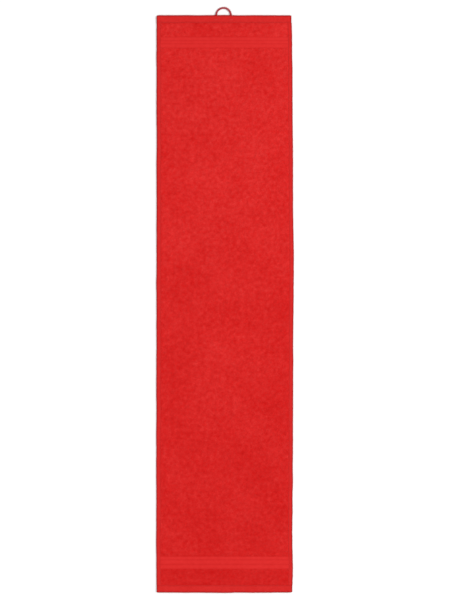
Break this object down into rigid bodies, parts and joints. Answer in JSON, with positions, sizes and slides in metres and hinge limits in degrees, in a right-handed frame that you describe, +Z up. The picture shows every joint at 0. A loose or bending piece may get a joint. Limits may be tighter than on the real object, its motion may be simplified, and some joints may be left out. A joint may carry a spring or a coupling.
{
  "type": "terry golf towel",
  "caption": "Long narrow terry towel with flat woven borders, sewn hems and a cord hanging loop; three fold lines roll it up.",
  "frame": {"origin": "middle of the whole towel's outline, loop included, on the surface that it lies on", "axes": "+Y along the towel towards the end with the loop, +X across it to the right seen from above, +Z up out of its face"},
  "size_m": [0.306, 1.3155, 0.0046],
  "materials": {
    "red_terry": "looped cotton terry pile, red, matt",
    "red_flat_weave": "flat woven border with raised ribs, red, slight sheen",
    "red_hem": "folded plain-weave hem, red, matt",
    "red_thread": "sewing thread, darker red",
    "crimson_cord": "twisted three-strand cord, dull crimson"
  },
  "bodies": {
    "upper_panel": {"bartack_left": "red_thread", "bartack_right": "red_thread", "border_top": "red_flat_weave", "end_hem_top": "red_hem", "end_hem_top_bobbin_thread": "red_thread", "end_hem_top_needle_thread": "red_thread", "loop_end_left": "crimson_cord", "loop_end_right": "crimson_cord", "pile_strip_top": "red_terry", "side_hem_left_upper": "red_hem", "side_hem_left_upper_bobbin_thread": "red_thread", "side_hem_left_upper_needle_thread": "red_thread", "side_hem_right_upper": "red_hem", "side_hem_right_upper_bobbin_thread": "red_thread", "side_hem_right_upper_needle_thread": "red_thread", "terry_field_upper": "red_terry"},
    "upper_middle_panel": {"side_hem_left_upper_middle": "red_hem", "side_hem_left_upper_middle_bobbin_thread": "red_thread", "side_hem_left_upper_middle_needle_thread": "red_thread", "side_hem_right_upper_middle": "red_hem", "side_hem_right_upper_middle_bobbin_thread": "red_thread", "side_hem_right_upper_middle_needle_thread": "red_thread", "terry_field_upper_middle": "red_terry"},
    "lower_middle_panel": {"side_hem_left_lower_middle": "red_hem", "side_hem_left_lower_middle_bobbin_thread": "red_thread", "side_hem_left_lower_middle_needle_thread": "red_thread", "side_hem_right_lower_middle": "red_hem", "side_hem_right_lower_middle_bobbin_thread": "red_thread", "side_hem_right_lower_middle_needle_thread": "red_thread", "terry_field_lower_middle": "red_terry"},
    "lower_panel": {"border_bottom": "red_flat_weave", "end_hem_bottom": "red_hem", "end_hem_bottom_bobbin_thread": "red_thread", "end_hem_bottom_needle_thread": "red_thread", "pile_strip_bottom": "red_terry", "side_hem_left_lower": "red_hem", "side_hem_left_lower_bobbin_thread": "red_thread", "side_hem_left_lower_needle_thread": "red_thread", "side_hem_right_lower": "red_hem", "side_hem_right_lower_bobbin_thread": "red_thread", "side_hem_right_lower_needle_thread": "red_thread", "terry_field_lower": "red_terry"},
    "loop": {"hanger_loop": "crimson_cord"}
  },
  "joints": [
    {"name": "fold_upper", "type": "hinge", "parent": "upper_panel", "child": "upper_middle_panel", "pos_m": [0, 0.29363, 0.0107], "axis": [-1, 0, 0], "range_deg": [0, 178]},
    {"name": "fold_middle", "type": "hinge", "parent": "upper_middle_panel", "child": "lower_middle_panel", "pos_m": [0, -0.031, 0.0079], "axis": [-1, 0, 0], "range_deg": [0, 179.9]},
    {"name": "fold_lower", "type": "hinge", "parent": "lower_middle_panel", "child": "lower_panel", "pos_m": [0, -0.34813, 0.0051], "axis": [-1, 0, 0], "range_deg": [0, 179.9]},
    {"name": "loop_swing", "type": "hinge", "parent": "upper_panel", "child": "loop", "pos_m": [-0.0028, 0.64065, 0.0023], "axis": [1, 0, 0], "range_deg": [0, 110]}
  ]
}
